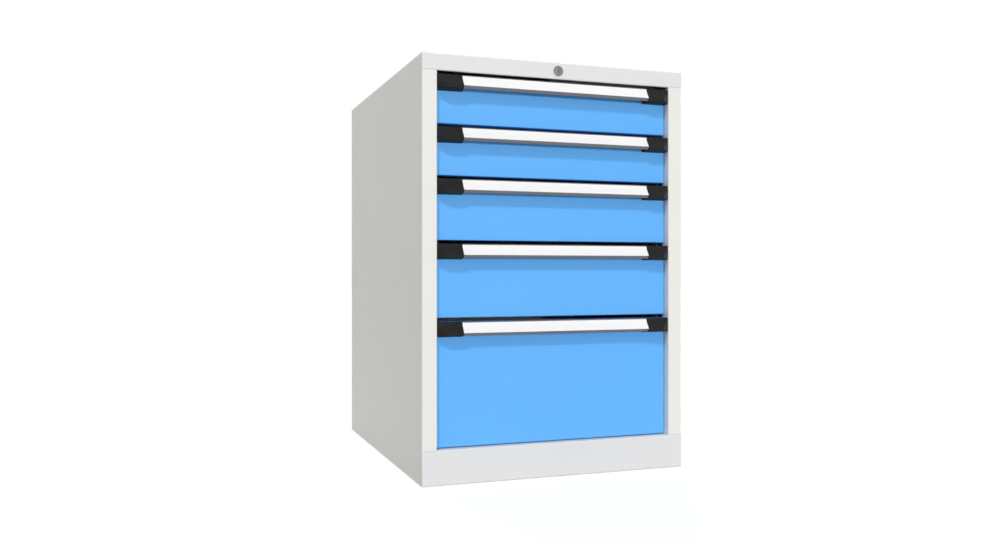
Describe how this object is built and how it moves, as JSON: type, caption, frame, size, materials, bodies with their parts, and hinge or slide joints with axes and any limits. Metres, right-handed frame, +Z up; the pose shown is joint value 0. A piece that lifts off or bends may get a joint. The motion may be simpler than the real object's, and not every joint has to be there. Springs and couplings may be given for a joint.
{
  "type": "reagent drawer cabinet",
  "caption": "Floor-standing sheet-steel drawer cabinet with blue fronts, full-width handle profiles with label faces, telescopic slides and a central lock.",
  "frame": {"origin": "centre of the cabinet's footprint, on the floor; the footprint's depth includes the handles' noses", "axes": "+X to the right as seen from the front, +Y to the back, +Z up; drawers open towards -Y"},
  "size_m": [0.56, 0.709, 0.825],
  "materials": {
    "housing_paint": "fine satin powder coat",
    "tray_paint": "fine satin powder coat",
    "front_paint": "fine satin powder coat",
    "alloy": "satin anodised extrusion",
    "label_white": "matt strip",
    "black_plastic": "moulded, fine grain",
    "nylon": "moulded",
    "rubber": "matt",
    "zinc_steel": "zinc-plated sheet",
    "lock_metal": "nickel-plated, satin"
  },
  "bodies": {
    "housing": {"left_side_panel": "housing_paint", "right_side_panel": "housing_paint", "back_panel": "housing_paint", "top_panel": "housing_paint", "top_front_rail": "housing_paint", "base_front_rail": "housing_paint", "base_rear_rail": "housing_paint", "base_side_rails": "housing_paint", "floor_panel": "housing_paint", "front_left_upright": "zinc_steel", "front_right_upright": "zinc_steel", "rear_left_upright": "zinc_steel", "rear_right_upright": "zinc_steel", "cabinet_runners_left": "zinc_steel", "cabinet_runners_right": "zinc_steel", "runner_glides": "nylon", "runner_stops": "rubber", "back_panel_screws": "zinc_steel", "lock_barrel": "lock_metal", "lock_nut": "zinc_steel", "lock_bar_guides": "black_plastic"},
    "lock_core": {"lock_core": "lock_metal", "lock_cam": "zinc_steel"},
    "lock_bar": {"lock_bar": "zinc_steel", "lock_lugs": "zinc_steel"},
    "drawer_1": {"drawer_1_tray": "tray_paint", "drawer_1_front": "front_paint", "drawer_1_handle": "alloy", "drawer_1_label": "label_white", "drawer_1_end_caps": "black_plastic", "drawer_1_runners": "zinc_steel"},
    "slides_1": {"middle_rails_1": "zinc_steel"},
    "drawer_2": {"drawer_2_tray": "tray_paint", "drawer_2_front": "front_paint", "drawer_2_handle": "alloy", "drawer_2_label": "label_white", "drawer_2_end_caps": "black_plastic", "drawer_2_runners": "zinc_steel"},
    "slides_2": {"middle_rails_2": "zinc_steel"},
    "drawer_3": {"drawer_3_tray": "tray_paint", "drawer_3_front": "front_paint", "drawer_3_handle": "alloy", "drawer_3_label": "label_white", "drawer_3_end_caps": "black_plastic", "drawer_3_runners": "zinc_steel"},
    "slides_3": {"middle_rails_3": "zinc_steel"},
    "drawer_4": {"drawer_4_tray": "tray_paint", "drawer_4_front": "front_paint", "drawer_4_handle": "alloy", "drawer_4_label": "label_white", "drawer_4_end_caps": "black_plastic", "drawer_4_runners": "zinc_steel"},
    "slides_4": {"middle_rails_4": "zinc_steel"},
    "drawer_5": {"drawer_5_tray": "tray_paint", "drawer_5_front": "front_paint", "drawer_5_handle": "alloy", "drawer_5_label": "label_white", "drawer_5_end_caps": "black_plastic", "drawer_5_runners": "zinc_steel"},
    "slides_5": {"middle_rails_5": "zinc_steel"}
  },
  "joints": [
    {"name": "drawer_1_slide", "type": "slide", "parent": "housing", "child": "drawer_1", "axis": [0, -1, 0], "range_m": [0, 0.6]},
    {"name": "middle_rails_1_slide", "type": "slide", "parent": "housing", "child": "slides_1", "axis": [0, -1, 0], "range_m": [0, 0.3]},
    {"name": "drawer_2_slide", "type": "slide", "parent": "housing", "child": "drawer_2", "axis": [0, -1, 0], "range_m": [0, 0.6]},
    {"name": "middle_rails_2_slide", "type": "slide", "parent": "housing", "child": "slides_2", "axis": [0, -1, 0], "range_m": [0, 0.3]},
    {"name": "drawer_3_slide", "type": "slide", "parent": "housing", "child": "drawer_3", "axis": [0, -1, 0], "range_m": [0, 0.6]},
    {"name": "middle_rails_3_slide", "type": "slide", "parent": "housing", "child": "slides_3", "axis": [0, -1, 0], "range_m": [0, 0.3]},
    {"name": "drawer_4_slide", "type": "slide", "parent": "housing", "child": "drawer_4", "axis": [0, -1, 0], "range_m": [0, 0.6]},
    {"name": "middle_rails_4_slide", "type": "slide", "parent": "housing", "child": "slides_4", "axis": [0, -1, 0], "range_m": [0, 0.3]},
    {"name": "drawer_5_slide", "type": "slide", "parent": "housing", "child": "drawer_5", "axis": [0, -1, 0], "range_m": [0, 0.6]},
    {"name": "middle_rails_5_slide", "type": "slide", "parent": "housing", "child": "slides_5", "axis": [0, -1, 0], "range_m": [0, 0.3]},
    {"name": "lock_bar_slide", "type": "slide", "parent": "housing", "child": "lock_bar", "axis": [-1, 0, 0], "range_m": [0, 0.012]},
    {"name": "lock_turn", "type": "hinge", "parent": "housing", "child": "lock_core", "pos_m": [0, -0.3455, 0.809], "axis": [0, 1, 0], "range_deg": [0, 90]}
  ],
  "couplings": [
    {"joint": "middle_rails_1_slide", "follows": "drawer_1_slide", "ratio": 0.5},
    {"joint": "middle_rails_2_slide", "follows": "drawer_2_slide", "ratio": 0.5},
    {"joint": "middle_rails_3_slide", "follows": "drawer_3_slide", "ratio": 0.5},
    {"joint": "middle_rails_4_slide", "follows": "drawer_4_slide", "ratio": 0.5},
    {"joint": "middle_rails_5_slide", "follows": "drawer_5_slide", "ratio": 0.5},
    {"joint": "lock_turn", "follows": "lock_bar_slide", "rad_per_m": 130.89}
  ]
}
